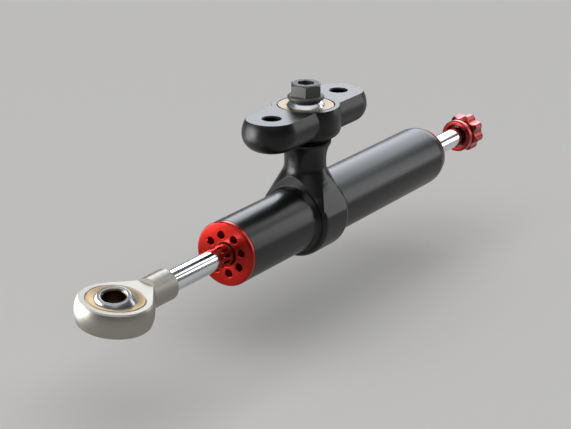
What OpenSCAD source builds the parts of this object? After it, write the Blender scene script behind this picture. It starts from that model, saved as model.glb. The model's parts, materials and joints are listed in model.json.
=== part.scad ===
// Motorcycle steering damper: a through-rod hydraulic damper that hangs from a frame bracket
// on a spherical bearing, with a rod eye at the front and an adjuster knob at the back.
// The origin is the centre of the bracket's flat seat, on the pivot axis. +X runs along the
// rod from the eye to the knob, and +Z is the pivot axis, up out of the seat. Millimetres.

/* [Frame bracket] */
// Distance between the two frame bolt holes
bolt_spacing = 46.7; // [44:0.1:60]
// Diameter of a frame bolt hole
bolt_hole_d = 6.6; // [5:0.1:8]
// Chamfer at both mouths of a frame bolt hole
hole_chamfer = 0.45; // [0.2:0.05:0.6]
// Thickness of the bracket
bracket_t = 12; // [11:0.5:16]
// Width of an ear across the flat seat
ear_w = 19.2; // [17:0.1:22]
// How far an ear swells out below the seat
ear_swell = 1.45; // [0.5:0.05:2]
// Wall of the boss round the pivot race, at the seat
boss_wall = 2; // [1.5:0.1:4]
// How far the boss swells out below the seat
boss_swell = 0.6; // [0.3:0.05:1.5]
// Depth of the widest line of the swell below the seat
swell_depth = 5.3; // [4:0.1:7]
// Rounding at the foot of the boss
boss_round = 3.5; // [2:0.1:4]
// Width of the lip that the pivot race sits on
race_lip = 2.2; // [1:0.1:2.6]

/* [Spherical bearings] */
// Diameter of a bearing ball
ball_d = 16.8; // [15.5:0.1:18]
// Width of a ball across its flats
ball_w = 12.4; // [11.6:0.1:13]
// Bore of a ball
ball_bore = 8; // [6:0.1:9]
// Chamfer at both mouths of a ball's bore
ball_chamfer = 0.75; // [0.2:0.05:0.8]
// Width of a race
race_w = 9; // [8:0.1:10]
// Wall of the pivot race at the middle of the ball
pivot_race_wall = 2.35; // [1.5:0.05:3.5]
// Wall of the eye race at the middle of the ball
eye_race_wall = 1.85; // [1.2:0.05:3]
// Chamfer at the inner rims of the eye race
eye_mouth = 0.65; // [0.3:0.05:0.8]
// Chamfer on the rims of a race and of its seat
race_chamfer = 0.3; // [0.1:0.05:0.5]

/* [Collar and neck] */
// Height of the collar over the tube
collar_step = 2.7; // [1.5:0.1:4]
// Distance between the pedestal's front and rear faces
collar_len = 18; // [17.8:0.1:22]
// Radius of the curves that run the collar out into the tube
collar_blend = 3.5; // [3:0.1:6]
// Width of the flat ring between those two curves
face_w = 0.5; // [0.3:0.05:0.8]
// Height of the neck's waist over the tube
pedestal_rise = 8.4; // [7:0.1:14]
// Lean of the pedestal's flat sides from upright, in degrees
side_lean = 21.5; // [15:0.5:21.5]
// Depth of the flat sides below the collar's surface
side_cut = 0.15; // [0.1:0.05:0.5]
// Half angle of the pedestal's round corners, in degrees
cone_lean = 30; // [27:0.5:36]
// Radius of the curve from the corners into the waist
base_fillet = 6; // [3:0.1:8]
// Diameter of the waist
waist_d = 16; // [14:0.1:16.4]
// Height of the straight part of the waist
waist_len = 1.9; // [0.5:0.1:10]
// Radius of the curve from the waist up to the head
head_flare = 12; // [9:0.1:20]
// Height of that curve
head_flare_h = 6.3; // [4:0.1:8]
// Height of the head's rim
head_lip = 0.8; // [0.4:0.1:2]
// Gap between the head and the bracket, for the tilt
neck_gap = 1.9; // [1.6:0.1:4]
// Radius of the land under the pivot ball
land_r = 5.6; // [5:0.1:6]

/* [Tube and end caps] */
// Outer diameter of the tube
tube_d = 24.4; // [24:0.1:30]
// Bore that the piston runs in
piston_bore = 18.4; // [17:0.1:19.4]
// Bore at both ends of the tube, for the caps and guides
end_bore = 20; // [19.6:0.1:20.4]
// Length of the tube in front of the pivot axis
front_len = 51.9; // [48:0.1:70]
// Length of the tube behind the pivot axis
rear_len = 91.6; // [88:0.1:120]
// How far the tube's rear end draws in
rear_drop = 1.5; // [0.8:0.1:1.7]
// Radius of the curve that draws it in
rear_round = 12; // [8:0.5:20]
// Chamfer at the tube's front end
tube_chamfer = 0.3; // [0.1:0.05:0.6]
// Thickness of the front cap's rim
cap_rim = 1.9; // [1.2:0.1:4]
// Thickness of the rear cap's rim
rear_rim = 1; // [0.8:0.1:3]
// Chamfer on a cap's rim
cap_chamfer = 0.5; // [0.2:0.05:0.7]
// Length of a cap inside the tube
cap_len = 9; // [7:0.1:12]
// Number of pin spanner holes in a cap
pin_count = 8; // [4:1:8]
// Diameter of a pin spanner hole
pin_d = 2.9; // [2:0.1:3]
// Chamfer at the mouth of a pin spanner hole
pin_chamfer = 0.25; // [0.1:0.05:0.3]
// Depth of a pin spanner hole
pin_depth = 4; // [2:0.1:6]
// Distance from the rod to the circle of pin holes
pin_offset = 3.25; // [3.1:0.05:3.6]

/* [Rod and piston] */
// Diameter of the rod
rod_d = 8; // [7:0.1:9]
// Length of bare rod between the front cap and the eye
rod_out = 35.2; // [28:0.1:40]
// Length of bare rod between the rear cap and the knob
rod_back = 28.7; // [22:0.1:34]
// Width of the piston
piston_w = 14; // [10:0.1:20]
// Width of the band round the piston
band_w = 4; // [2:0.1:6]
// Thickness of that band
band_t = 1.5; // [1:0.1:2]
// Thickness of a snap ring
clip_t = 1; // [0.6:0.1:1.4]
// Depth of a snap ring's groove in the rod
clip_groove = 0.6; // [0.3:0.05:0.8]
// How far a snap ring stands out of the rod
clip_rise = 1; // [0.6:0.1:1.4]

/* [Guides and seals] */
// Wall of a rod bush
bush_wall = 1; // [0.6:0.1:1.6]
// Length of a rod bush
bush_len = 12; // [8:0.1:14]
// Height of a rod seal's section
seal_wall = 2.4; // [1.6:0.1:3]
// Width of a rod seal
seal_w = 3.2; // [2:0.1:4]
// Height of a wiper's section
wiper_wall = 1.3; // [0.8:0.1:1.5]
// Width of a wiper
wiper_w = 2.6; // [1.5:0.1:4]
// Depth of a wiper behind the cap's face
wiper_set = 1.2; // [0.8:0.1:2]
// Section of a guide's O-ring
oring_d = 1.6; // [1.2:0.1:2.4]

/* [Rod eye] */
// Wall of the eye round its race, at the flats
eye_wall = 2.5; // [1.8:0.1:4]
// How far the eye's sides swell out between the flats
eye_swell = 0.9; // [0.4:0.05:1.6]
// Chamfer round the eye's flats
eye_edge = 0.3; // [0.1:0.05:0.6]
// Distance from the eye's centre to the end of the shank
shank_reach = 29.5; // [28:0.1:40]
// Diameter of the shank
shank_d = 11.4; // [11:0.1:13]
// Distance from the eye's centre to the end of the flats
flat_reach = 17; // [16:0.1:20]
// Angle at which the eye's sides taper into the shank, in degrees
eye_taper = 36; // [32:0.5:40]
// Diameter of the threaded stud in the shank
stud_d = 6; // [5:0.1:6.4]
// Length of that stud
stud_len = 13; // [8:0.1:14]
// Turn of the eye about the rod, near side down, in degrees
eye_roll = 6.6; // [-15:0.1:15]
// Lean of the eye's ball towards the front, in degrees
ball_lean = 10; // [-12:0.5:12]

/* [Pivot bolt] */
// Width of the hexagon across its flats
hex_af = 11; // [10:0.1:12]
// Height of the hexagon
hex_h = 4.2; // [4:0.1:7]
// Diameter of the flange
flange_d = 14; // [13:0.1:15]
// Thickness of the flange
flange_t = 2.4; // [2.2:0.1:3]
// Rounding of the flange's rim
flange_round = 0.9; // [0.5:0.05:1]
// Width of the hexagon socket across its flats
socket_af = 6; // [4:0.1:7]
// Depth of that socket
socket_depth = 4.5; // [2:0.1:5]
// Length of the bolt below the ball
thread_len = 13; // [8:0.1:14]
// Turn of the hexagon about the pivot axis, in degrees
hex_turn = 32; // [0:1:59]

/* [Adjuster] */
// Diameter of the knob's round front
knob_front_d = 13.6; // [13:0.1:16]
// Width of the knob's round front
knob_front_w = 3; // [2.4:0.1:5]
// Diameter of the knob over its lobes
knob_d = 16; // [15.6:0.1:20]
// Width of the lobes
lobe_w = 7.3; // [7:0.1:10]
// Number of lobes
lobe_count = 8; // [6:1:8]
// Diameter of a scallop between two lobes
scallop_d = 6.4; // [4:0.1:7]
// Depth of a scallop
scallop_depth = 1.3; // [0.6:0.1:1.6]
// Width of the groove between the front and the lobes
knob_groove = 1.2; // [0.8:0.1:2]
// Depth of the knob's recess round the rod
recess_depth = 2; // [1:0.1:2.2]
// Length of rod inside the knob
rod_in_knob = 5.7; // [5.4:0.1:6.4]
// Diameter of the needle
needle_d = 3.9; // [3.4:0.1:4]
// Travel of the needle to each side
needle_travel = 0.5; // [0.3:0.05:0.6]
// Diameter of the detent ball
detent_d = 1.5; // [1.3:0.05:1.6]
// Number of clicks in one turn
click_count = 12; // [8:1:12]

/* [Fits] */
// Radial clearance of pieces that are seated in each other
seat_fit = 0.02; // [0.01:0.01:0.04]
// Radial clearance of pieces that run on each other
run_fit = 0.04; // [0.02:0.01:0.08]

/* [Hidden] */
$fn = 96;
cut = 1;

tube_r = tube_d / 2;
rod_r = rod_d / 2;
ball_r = ball_d / 2;
collar_r = tube_r + collar_step;
rear_r = tube_r - rear_drop;

// Heights above the rod axis, from the tube up to the bracket's seat
waist_low = tube_r + pedestal_rise;
waist_high = waist_low + waist_len;
head_low = waist_high + head_flare_h;
head_top = head_low + head_lip;
axis_drop = head_top + neck_gap + bracket_t;
waist_r = waist_d / 2;
head_r = waist_r + head_flare - sqrt(pow(head_flare, 2) - pow(head_flare_h, 2));

// The spherical bearings
pivot_z = -race_w / 2;
race_in_r = ball_r + run_fit;
pivot_race_r = race_in_r + pivot_race_wall;
eye_race_r = race_in_r + eye_race_wall;
bolt_r = ball_bore / 2 - run_fit;
ball_top = pivot_z + ball_w / 2;
land_top = axis_drop + pivot_z - ball_w / 2;

// Places along the rod
cap_face_front = -front_len - cap_rim;
cap_face_rear = rear_len + rear_rim;
shank_end = cap_face_front - rod_out;
eye_x = shank_end - shank_reach;
knob_x = cap_face_rear + rod_back;
rod_end_x = knob_x + rod_in_knob;
half_stroke = (rod_out + rod_back) / 2;
stop_gap = 0.5;
piston_x = (rear_len - front_len + rod_back - rod_out) / 2;
guide_end = (front_len + rear_len - piston_w) / 2 - half_stroke - clip_t - stop_gap;

// Radii round the rod: the mouth of a cap, and the free way through a cap and a guide
mouth_gap = 0.3;
mouth_chamfer = 0.6;
free_gap = 0.35;
mouth_r = rod_r + mouth_gap;
free_r = rod_r + free_gap;

// The needle in the rod's bore, and the ports that it meters
needle_r = needle_d / 2;
needle_bore_r = needle_r + run_fit;
tip_inset = 2;
bore_overrun = 5;
needle_tip = piston_x - piston_w / 2 + tip_inset;
bore_floor = piston_x - piston_w / 2 - bore_overrun;
needle_oring_x = (piston_x + rod_end_x) / 2;
port_r = 1;
port_wall = 1;
port_offset = piston_w / 2 + clip_t + port_r + port_wall;

// The knob, measured from its front face
clip_wall = 1.2;
rod_end_gap = 0.1;
thread_step = 0.4;
thread_reach = 4;
travel_gap = 0.3;
clip_place = recess_depth + clip_wall;
knob_floor = rod_in_knob + rod_end_gap;
lobe_start = knob_front_w + knob_groove;
knob_len = lobe_start + lobe_w;
thread_r = needle_r - thread_step;
needle_shoulder = knob_floor - needle_travel - travel_gap;
needle_tail = needle_shoulder + thread_reach;
thread_floor = needle_tail + needle_travel + travel_gap;
detent_r = detent_d / 2;
detent_circle = (needle_bore_r + rod_r) / 2;
detent_bore_r = detent_r + seat_fit;
detent_top = rod_in_knob + run_fit + detent_d;
spring_len = 2.2;
spring_wire = 0.24;
spring_turns = 4;

// Sets a piece drawn up the Z axis along the rod, its foot at x
module along_rod(x) {
    translate([x, 0, -axis_drop]) rotate([0, 90, 0]) children();
}

// Sets a piece drawn outwards from the tube's end at the front or the rear end
module at_front() {
    translate([-front_len, 0, -axis_drop]) rotate([0, -90, 0]) children();
}

module at_rear() {
    along_rod(rear_len) children();
}

// A rectangle from radius r0 to r1 and from height z0 to z1, for a turned profile
module band(r0, r1, z0, z1) {
    translate([r0, z0]) square([r1 - r0, z1 - z0]);
}

// Half section of the bracket: flat seat on top, swollen side, rounded foot
module swollen_side(seat_r, swell, foot_round) {
    wide_r = seat_r + swell;
    side_arc = (pow(swell_depth, 2) + pow(swell, 2)) / (2 * swell);
    intersection() {
        translate([wide_r - side_arc, -swell_depth]) circle(side_arc);
        band(0, wide_r, -swell_depth, 0);
    }
    difference() {
        band(0, wide_r, -bracket_t, -swell_depth);
        difference() {
            band(wide_r - foot_round, wide_r + cut, -bracket_t - cut, -bracket_t + foot_round);
            translate([wide_r - foot_round, -bracket_t + foot_round]) circle(foot_round);
        }
    }
}

module ear_section() {
    swollen_side(ear_w / 2, ear_swell, bracket_t - swell_depth);
}

module bolt_hole() {
    hole_r = bolt_hole_d / 2;
    wide_r = hole_r + hole_chamfer;
    translate([0, 0, -bracket_t - cut]) cylinder(h = bracket_t + 2 * cut, r = hole_r);
    translate([0, 0, -hole_chamfer]) cylinder(h = hole_chamfer, r1 = hole_r, r2 = wide_r);
    translate([0, 0, -bracket_t]) cylinder(h = hole_chamfer, r1 = wide_r, r2 = hole_r);
}

module race_seat(r) {
    translate([0, 0, -race_w]) cylinder(h = race_w + cut, r = r + seat_fit);
    translate([0, 0, -race_chamfer])
        cylinder(h = race_chamfer, r1 = r + seat_fit, r2 = r + seat_fit + race_chamfer);
}

module frame_bracket() {
    color("#242527") difference() {
        union() {
            rotate([90, 0, 90]) linear_extrude(height = bolt_spacing, center = true) {
                ear_section();
                mirror([1, 0]) ear_section();
            }
            for (side = [-1, 1]) {
                translate([side * bolt_spacing / 2, 0, 0]) rotate_extrude() ear_section();
            }
            rotate_extrude() swollen_side(pivot_race_r + boss_wall, boss_swell, boss_round);
        }
        for (side = [-1, 1]) {
            translate([side * bolt_spacing / 2, 0, 0]) bolt_hole();
        }
        race_seat(pivot_race_r);
        translate([0, 0, -bracket_t - cut]) cylinder(h = bracket_t, r = pivot_race_r - race_lip);
    }
}

// Outer race of a spherical bearing, centred on its ball
module race(r, mouth) {
    face = race_w / 2;
    face_in_r = sqrt(pow(race_in_r, 2) - pow(face, 2));
    rotate_extrude() difference() {
        polygon([
            [0, -face], [r - race_chamfer, -face], [r, race_chamfer - face],
            [r, face - race_chamfer], [r - race_chamfer, face], [0, face]
        ]);
        circle(race_in_r);
        for (side = [0, 1]) {
            mirror([0, side]) polygon([[0, face - mouth], [face_in_r, face - mouth],
                [face_in_r + mouth, face], [face_in_r + mouth, face + cut], [0, face + cut]]);
        }
    }
}

// Ball of a spherical bearing with its bore
module ball() {
    bore_r = ball_bore / 2;
    flat = ball_w / 2;
    rotate_extrude() difference() {
        intersection() {
            circle(ball_r);
            band(0, ball_r, -flat, flat);
        }
        band(0, bore_r, -flat - cut, flat + cut);
        for (side = [-1, 1]) {
            polygon([[0, side * flat], [bore_r + ball_chamfer, side * flat],
                [bore_r, side * (flat - ball_chamfer)], [0, side * (flat - ball_chamfer)]]);
        }
    }
}

module pivot_race() {
    color("#c9a063") translate([0, 0, pivot_z]) race(pivot_race_r, race_chamfer);
}

module pivot_ball() {
    color("#d9dce0") translate([0, 0, pivot_z]) ball();
}

// Half section of the neck above the pedestal's cone, by height over the rod axis
module neck_section(cone_top_r, cone_top) {
    difference() {
        band(0, cone_top_r, cone_top, waist_low);
        translate([waist_r + base_fillet, waist_low]) circle(base_fillet);
    }
    band(0, waist_r, waist_low, waist_high);
    difference() {
        band(0, head_r, waist_high, head_top);
        translate([waist_r + head_flare, waist_high]) circle(head_flare);
    }
    band(0, land_r, head_top, land_top);
}

// Pedestal: a cone round the pivot axis between two upright faces, its foot inside the collar
module pedestal(cone_top_r, cone_top) {
    side_r = collar_r - side_cut;
    wide = side_r * cos(side_lean);
    foot = side_r * sin(side_lean);
    tuck = tube_r + collar_step / 2 - 0.1;
    intersection() {
        rotate_extrude() polygon([[0, 0], [cone_top_r + cone_top * tan(cone_lean), 0],
            [cone_top_r - cut * tan(cone_lean), cone_top + cut], [0, cone_top + cut]]);
        rotate([90, 0, 90]) linear_extrude(height = collar_len, center = true)
            polygon([[-tuck, 0], [tuck, 0], [wide, foot], [wide, cone_top + cut],
                [-wide, cone_top + cut], [-wide, foot]]);
    }
}

// What is milled off the pedestal and the collar to leave the two leaning flat sides
module side_flats(cone_top) {
    low_w = (collar_r - side_cut) / cos(side_lean);
    top_w = low_w - cone_top * tan(side_lean);
    for (side = [0, 1]) {
        mirror([0, side, 0]) rotate([90, 0, 90]) linear_extrude(height = 2 * collar_len, center = true)
            polygon([[low_w, 0], [top_w, cone_top], [tube_d, cone_top], [tube_d, 0]]);
    }
}

// Collar round the tube: at both ends a round shoulder, a narrow flat face and a hollow curve
module collar() {
    half = collar_len / 2;
    rise = (collar_step - face_w) / 2;
    run = sqrt(pow(collar_blend, 2) - pow(collar_blend - rise, 2));
    rotate_extrude() {
        difference() {
            band(0, collar_r, -half, half);
            for (side = [0, 1]) {
                mirror([0, side]) difference() {
                    band(collar_r - collar_blend, collar_r + cut, half - run, half + cut);
                    translate([collar_r - collar_blend, half - run]) circle(collar_blend);
                }
            }
        }
        for (side = [0, 1]) {
            mirror([0, side]) difference() {
                band(0, tube_r + collar_step / 2, half - rise / 2, half + run);
                translate([tube_r + collar_blend, half + run]) circle(collar_blend);
            }
        }
    }
}

// Tube: square and chamfered at the front, drawn in by a large curve at the rear
module tube() {
    run = sqrt(pow(rear_round, 2) - pow(rear_round - rear_drop, 2));
    rotate_extrude() difference() {
        polygon([[0, -front_len], [tube_r - tube_chamfer, -front_len],
            [tube_r, -front_len + tube_chamfer], [tube_r, rear_len], [0, rear_len]]);
        difference() {
            band(rear_r - cut, tube_r + cut, rear_len - run, rear_len + cut);
            translate([tube_r - rear_round, rear_len - run]) circle(rear_round);
        }
    }
}

module damper_body() {
    cone_skin = 0.015;
    cone_top_r = waist_r + base_fillet * (1 - cos(cone_lean)) + cone_skin;
    cone_top = waist_low - base_fillet * sin(cone_lean);
    hole_len = thread_len + 1;
    color("#1d1e20") difference() {
        union() {
            along_rod(0) tube();
            translate([0, 0, -axis_drop]) rotate_extrude() neck_section(cone_top_r, cone_top);
            difference() {
                union() {
                    along_rod(0) collar();
                    translate([0, 0, -axis_drop]) pedestal(cone_top_r, cone_top);
                }
                translate([0, 0, -axis_drop]) side_flats(cone_top);
            }
        }
        along_rod(-front_len) cylinder(h = front_len + rear_len, d = piston_bore);
        along_rod(-front_len - cut) cylinder(h = guide_end + cut, d = end_bore);
        along_rod(rear_len - guide_end) cylinder(h = guide_end + cut, d = end_bore);
        translate([0, 0, land_top - axis_drop - hole_len])
            cylinder(h = hole_len + cut, r = bolt_r + seat_fit);
    }
}

module pivot_bolt() {
    hex_r = hex_af / 2 / cos(30);
    hex_bevel = 0.7;
    top_r = hex_af / 2 - hex_bevel / 2;
    rim_x = flange_d / 2 - flange_round;
    rim_z = flange_t / 2;
    head_h = flange_t + hex_h;
    tip = -ball_w - thread_len;
    tip_chamfer = 0.8;
    color("#7d7f80") translate([0, 0, ball_top]) difference() {
        union() {
            rotate_extrude() {
                polygon([[0, tip], [bolt_r - tip_chamfer, tip], [bolt_r, tip + tip_chamfer], [bolt_r, 0],
                    [land_r, 0], [rim_x, rim_z - flange_round], [rim_x, rim_z + flange_round],
                    [hex_af / 2 - hex_bevel, flange_t], [0, flange_t]]);
                translate([rim_x, rim_z]) circle(flange_round);
            }
            intersection() {
                rotate([0, 0, hex_turn]) cylinder(h = head_h, r = hex_r, $fn = 6);
                rotate_extrude() polygon([[0, rim_z], [hex_r, rim_z], [hex_r, head_h - hex_bevel],
                    [top_r, head_h], [0, head_h]]);
            }
        }
        translate([0, 0, head_h - socket_depth]) rotate([0, 0, hex_turn])
            cylinder(h = socket_depth + cut, r = socket_af / 2 / cos(30), $fn = 6);
    }
}

// Pin spanner hole, its mouth at z = 0
module pin_hole() {
    pin_r = pin_d / 2;
    rotate_extrude() polygon([[0, -pin_depth], [pin_r, -pin_depth], [pin_r, -pin_chamfer],
        [pin_r + pin_chamfer, 0], [pin_r + pin_chamfer, cut], [0, cut]]);
}

// End cap: rim against the tube's end, body inside the tube, outwards up the Z axis
module end_cap(rim, rim_r) {
    body_r = end_bore / 2 - seat_fit;
    wiper_out = rim - wiper_set;
    wiper_in = wiper_out - wiper_w - 2 * seat_fit;
    pin_turn = 13;
    difference() {
        rotate_extrude() difference() {
            polygon([[0, -cap_len], [body_r, -cap_len], [body_r, 0], [rim_r, 0],
                [rim_r, rim - cap_chamfer], [rim_r - cap_chamfer, rim], [0, rim]]);
            band(0, free_r, -cap_len - cut, wiper_in);
            band(0, rod_r + wiper_wall + run_fit + seat_fit, wiper_in, wiper_out);
            band(0, mouth_r, wiper_out, rim + cut);
            polygon([[0, rim - mouth_chamfer], [mouth_r, rim - mouth_chamfer], [mouth_r + mouth_chamfer, rim],
                [mouth_r + mouth_chamfer, rim + cut], [0, rim + cut]]);
        }
        for (i = [0 : pin_count - 1]) {
            rotate([0, 0, pin_turn + i * 360 / pin_count]) translate([rod_r + pin_offset, 0, rim]) pin_hole();
        }
    }
}

module front_cap() {
    color("#c8281e") at_front() end_cap(cap_rim, tube_r);
}

module rear_cap() {
    color("#c8281e") at_rear() end_cap(rear_rim, rear_r);
}

// Rod guide behind a cap, with a pocket for the bush and grooves for the seal and the O-ring
seal_place = -guide_end + bush_len + 2;
oring_place = -cap_len - 4;
oring_groove_w = oring_d * 1.4;
oring_r = end_bore / 2 - seat_fit - oring_d / 2;

module rod_guide() {
    rotate_extrude() difference() {
        band(free_r, end_bore / 2 - seat_fit, -guide_end, -cap_len);
        band(0, rod_r + run_fit + bush_wall + seat_fit, -guide_end - cut, -guide_end + bush_len);
        band(0, rod_r + run_fit + seal_wall + seat_fit, seal_place - seat_fit,
            seal_place + seal_w + seat_fit);
        band(oring_r - oring_d / 2 - seat_fit, end_bore, oring_place - oring_groove_w / 2,
            oring_place + oring_groove_w / 2);
    }
}

module guide_oring() {
    translate([0, 0, oring_place]) rotate_extrude() translate([oring_r, 0]) circle(d = oring_d);
}

module bush() {
    rotate_extrude() band(rod_r + run_fit, rod_r + run_fit + bush_wall, -guide_end, -guide_end + bush_len);
}

// Lip seal: a ring with a groove in the face that looks at the oil
module rod_seal() {
    lip = seal_wall / 3;
    rotate_extrude() difference() {
        band(rod_r + run_fit, rod_r + run_fit + seal_wall, seal_place, seal_place + seal_w);
        band(rod_r + run_fit + lip, rod_r + run_fit + 2 * lip, seal_place - cut, seal_place + seal_w / 2);
    }
}

// Wiper: a ring whose inner edge rises to a lip on the outside
module wiper(rim) {
    outer = rim - wiper_set - seat_fit;
    inner = outer - wiper_w;
    touch_r = rod_r + run_fit;
    rotate_extrude() polygon([[touch_r + wiper_wall / 2, inner], [touch_r + wiper_wall, inner],
        [touch_r + wiper_wall, outer], [touch_r, outer], [touch_r, outer - wiper_w / 2]]);
}

module front_rod_guide() {
    color("#b9bcc0") at_front() rod_guide();
}

module rear_rod_guide() {
    color("#b9bcc0") at_rear() rod_guide();
}

module front_guide_oring() {
    color("#1a1a1a") at_front() guide_oring();
}

module rear_guide_oring() {
    color("#1a1a1a") at_rear() guide_oring();
}

module front_bush() {
    color("#a98a54") at_front() bush();
}

module rear_bush() {
    color("#a98a54") at_rear() bush();
}

module front_rod_seal() {
    color("#202020") at_front() rod_seal();
}

module rear_rod_seal() {
    color("#202020") at_rear() rod_seal();
}

module front_wiper() {
    color("#161616") at_front() wiper(cap_rim);
}

module rear_wiper() {
    color("#161616") at_rear() wiper(rear_rim);
}

piston_r = piston_bore / 2 - 0.25;
band_r = piston_bore / 2 - run_fit;

module piston() {
    chamfer = 0.6;
    half = piston_w / 2;
    color("#c4c7ca") along_rod(piston_x) rotate_extrude() difference() {
        polygon([[rod_r + run_fit, -half], [piston_r - chamfer, -half], [piston_r, chamfer - half],
            [piston_r, half - chamfer], [piston_r - chamfer, half], [rod_r + run_fit, half]]);
        band(band_r - band_t - seat_fit, piston_bore, -band_w / 2 - seat_fit, band_w / 2 + seat_fit);
    }
}

module piston_ring() {
    color("#3d3a36") along_rod(piston_x) rotate_extrude()
        band(band_r - band_t, band_r, -band_w / 2, band_w / 2);
}

// Open snap ring in a groove of the rod, its foot at z = 0
module snap_ring(rise) {
    inner_r = rod_r - clip_groove + seat_fit;
    gap = rod_d / 4;
    difference() {
        cylinder(h = clip_t, r = rod_r + rise);
        translate([0, 0, -cut]) cylinder(h = clip_t + 2 * cut, r = inner_r);
        translate([0, -gap / 2, -cut]) cube([rod_d, gap, clip_t + 2 * cut]);
    }
}

module snap_groove() {
    difference() {
        translate([0, 0, -seat_fit]) cylinder(h = clip_t + 2 * seat_fit, r = rod_r + cut);
        translate([0, 0, -cut]) cylinder(h = clip_t + 2 * cut, r = rod_r - clip_groove);
    }
}

clip_front = piston_x - piston_w / 2 - run_fit - clip_t;
clip_rear = piston_x + piston_w / 2 + run_fit;

module piston_clips() {
    color("#5b5f63") {
        along_rod(clip_front) snap_ring(clip_rise);
        along_rod(clip_rear) snap_ring(clip_rise);
    }
}

module piston_rod() {
    dimple_depth = 0.25;
    color("#dfe3e6") difference() {
        union() {
            along_rod(shank_end) cylinder(h = rod_end_x - shank_end, r = rod_r);
            along_rod(shank_end - stud_len) cylinder(h = stud_len + cut, d = stud_d);
        }
        along_rod(bore_floor) cylinder(h = rod_end_x - bore_floor + cut, r = needle_bore_r);
        for (side = [-1, 1]) {
            translate([piston_x + side * port_offset, 0, -axis_drop - rod_r - cut])
                cylinder(h = rod_d + 2 * cut, r = port_r);
        }
        along_rod(clip_front) snap_groove();
        along_rod(clip_rear) snap_groove();
        along_rod(knob_x + clip_place) snap_groove();
        for (i = [0 : click_count - 1]) {
            along_rod(rod_end_x) rotate([0, 0, i * 360 / click_count])
                translate([detent_circle, 0, detent_r - dimple_depth]) sphere(r = detent_r);
        }
    }
}

// Places a piece in the eye's own frame: centre at the origin, shank along +X, flats up and down
module in_eye() {
    translate([eye_x, 0, -axis_drop]) rotate([eye_roll, 0, 0]) children();
}

eye_flat_r = eye_race_r + eye_wall;

// Half section of the eye between its two flats, with swollen side and chamfered rims
module eye_side() {
    half = race_w / 2;
    wide_r = eye_flat_r + eye_swell;
    rim_r = eye_flat_r - eye_edge;
    side_arc = (pow(half, 2) + pow(eye_swell, 2)) / (2 * eye_swell);
    intersection() {
        translate([wide_r - side_arc, 0]) circle(side_arc);
        polygon([[0, -half], [rim_r, -half], [rim_r + half, 0], [rim_r, half], [0, half]]);
    }
}

// One tapering side of the eye: the swollen section run along the line that leads to the shank
module eye_flank(side) {
    mirror([0, side, 0]) rotate([90, 0, 90 - eye_taper]) linear_extrude(height = shank_reach) {
        eye_side();
        band(-2 * eye_flat_r, 0, -race_w / 2, race_w / 2);
    }
}

module rod_end() {
    shank_r = shank_d / 2;
    shank_chamfer = 0.7;
    shank_start = eye_race_r;
    shank_len = shank_reach - shank_start;
    ramp = race_w / 2 + shank_r;
    color("#b5b1a6") in_eye() difference() {
        union() {
            rotate_extrude() eye_side();
            intersection() {
                eye_flank(0);
                eye_flank(1);
                translate([0, -eye_flat_r, -race_w]) cube([flat_reach, 2 * eye_flat_r, 2 * race_w]);
            }
            difference() {
                translate([shank_start, 0, 0]) rotate([0, 90, 0]) rotate_extrude()
                    polygon([[0, 0], [shank_r, 0], [shank_r, shank_len - shank_chamfer],
                        [shank_r - shank_chamfer, shank_len], [0, shank_len]]);
                for (side = [0, 1]) {
                    mirror([0, 0, side]) rotate([90, 0, 0])
                        linear_extrude(height = 2 * shank_d, center = true)
                            polygon([[0, race_w / 2], [flat_reach, race_w / 2],
                                [flat_reach + shank_r, ramp], [0, ramp]]);
                }
            }
        }
        translate([0, 0, -race_w / 2 - cut]) cylinder(h = race_w + 2 * cut, r = eye_race_r + seat_fit);
        for (side = [0, 1]) {
            mirror([0, 0, side]) translate([0, 0, race_w / 2 - race_chamfer]) cylinder(h = race_chamfer,
                r1 = eye_race_r + seat_fit, r2 = eye_race_r + seat_fit + race_chamfer);
        }
        translate([shank_reach - stud_len - seat_fit, 0, 0]) rotate([0, 90, 0])
            cylinder(h = stud_len + cut, r = stud_d / 2 + seat_fit);
    }
}

module rod_end_race() {
    color("#c9a063") in_eye() race(eye_race_r, eye_mouth);
}

module rod_end_ball() {
    color("#d9dce0") in_eye() rotate([0, -ball_lean, 0]) ball();
}

// Outline of the knob's lobes: a disc with a scallop between each two lobes
module lobe_outline() {
    scallop_circle = knob_d / 2 - scallop_depth + scallop_d / 2;
    lobe_turn = 14;
    difference() {
        circle(d = knob_d);
        for (i = [0 : lobe_count - 1]) {
            rotate(lobe_turn + (i + 0.5) * 360 / lobe_count) translate([scallop_circle, 0])
                circle(d = scallop_d);
        }
    }
}

module adjuster_knob() {
    edge = 0.5;
    front_bevel = 1.2;
    back_bevel = 0.8;
    front_r = knob_front_d / 2;
    groove_r = front_r - 0.7;
    color("#c8281e") along_rod(knob_x) difference() {
        union() {
            rotate_extrude() polygon([[0, 0], [front_r - edge, 0], [front_r, edge],
                [front_r, knob_front_w - edge], [front_r - edge, knob_front_w], [groove_r, knob_front_w],
                [groove_r, lobe_start + cut], [0, lobe_start + cut]]);
            intersection() {
                translate([0, 0, lobe_start]) linear_extrude(height = lobe_w) lobe_outline();
                rotate_extrude() polygon([[0, lobe_start], [knob_d / 2 - front_bevel, lobe_start],
                    [knob_d / 2, lobe_start + front_bevel], [knob_d / 2, knob_len - back_bevel],
                    [knob_d / 2 - back_bevel, knob_len], [0, knob_len]]);
            }
        }
        rotate_extrude() {
            band(0, rod_r + clip_rise + run_fit, -cut, recess_depth);
            band(0, rod_r + run_fit, -cut, knob_floor);
            band(0, rod_r + clip_rise + run_fit, clip_place - run_fit, clip_place + clip_t + run_fit);
            band(0, thread_r + run_fit, knob_floor - cut, thread_floor);
        }
        translate([detent_circle, 0, knob_floor - cut])
            cylinder(h = detent_top + spring_len - knob_floor + cut + seat_fit, r = detent_bore_r);
    }
}

module knob_clip() {
    color("#5b5f63") along_rod(knob_x + clip_place) snap_ring(clip_rise - run_fit);
}

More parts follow.
